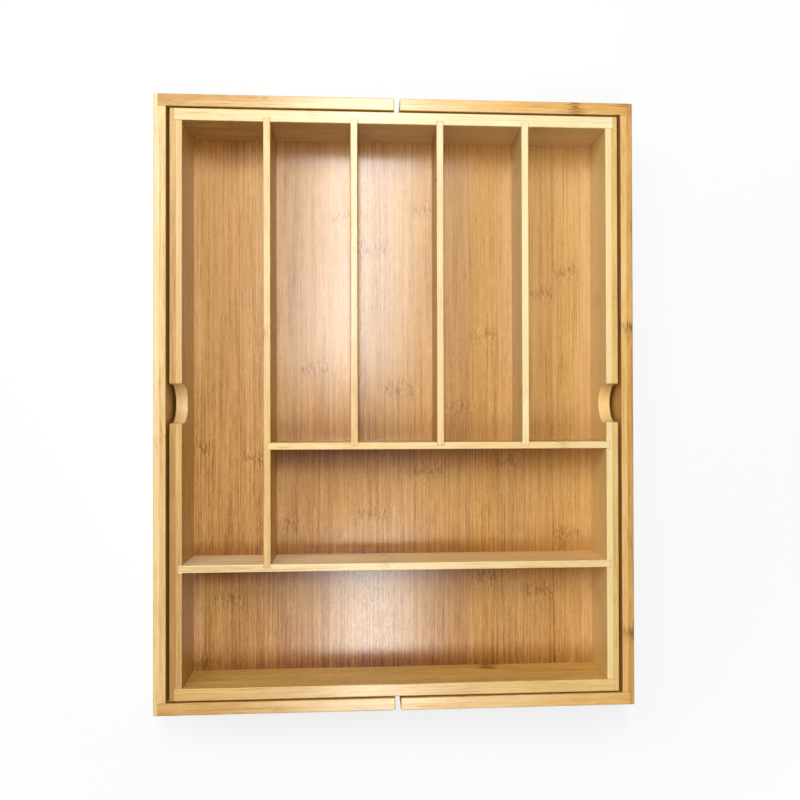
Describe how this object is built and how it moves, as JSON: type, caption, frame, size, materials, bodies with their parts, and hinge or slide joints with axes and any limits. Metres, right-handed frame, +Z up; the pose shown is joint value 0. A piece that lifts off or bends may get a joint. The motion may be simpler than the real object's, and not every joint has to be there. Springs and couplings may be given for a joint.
{
  "type": "expandable cutlery tray",
  "caption": "Expandable bamboo cutlery tray: a divided inner tray nested between sliding wings that pull out sideways to open further compartments.",
  "frame": {"origin": "on the surface it stands on, under the middle of the tray at rest", "axes": "+X across the tray to the right-hand wing, +Y from front to back, +Z up"},
  "size_m": [0.35, 0.446, 0.057],
  "materials": {
    "tray_bamboo": "laminated bamboo, satin lacquer",
    "divider_bamboo": "laminated bamboo, satin lacquer",
    "wing_bamboo": "laminated bamboo, satin lacquer",
    "floor_bamboo": "laminated bamboo board, satin lacquer",
    "key_bamboo": "bamboo, unfinished"
  },
  "bodies": {
    "tray": {"tray_side_left": "tray_bamboo", "tray_side_right": "tray_bamboo", "tray_end_back": "tray_bamboo", "tray_end_front": "tray_bamboo", "tray_floor": "floor_bamboo", "long_divider": "divider_bamboo", "lower_cross_divider": "divider_bamboo", "upper_cross_divider": "divider_bamboo", "column_divider_1": "divider_bamboo", "column_divider_2": "divider_bamboo", "column_divider_3": "divider_bamboo"},
    "left_wing": {"left_wing_side": "wing_bamboo", "left_wing_floor": "floor_bamboo", "left_wing_end_back": "wing_bamboo", "left_wing_key_back": "key_bamboo", "left_wing_end_front": "wing_bamboo", "left_wing_key_front": "key_bamboo"},
    "right_wing": {"right_wing_side": "wing_bamboo", "right_wing_floor": "floor_bamboo", "right_wing_end_back": "wing_bamboo", "right_wing_key_back": "key_bamboo", "right_wing_end_front": "wing_bamboo", "right_wing_key_front": "key_bamboo"}
  },
  "joints": [
    {"name": "left_wing_slide", "type": "slide", "parent": "tray", "child": "left_wing", "axis": [-1, 0, 0], "range_m": [-0.0018, 0.0985]},
    {"name": "right_wing_slide", "type": "slide", "parent": "tray", "child": "right_wing", "axis": [1, 0, 0], "range_m": [-0.0018, 0.0985]}
  ]
}
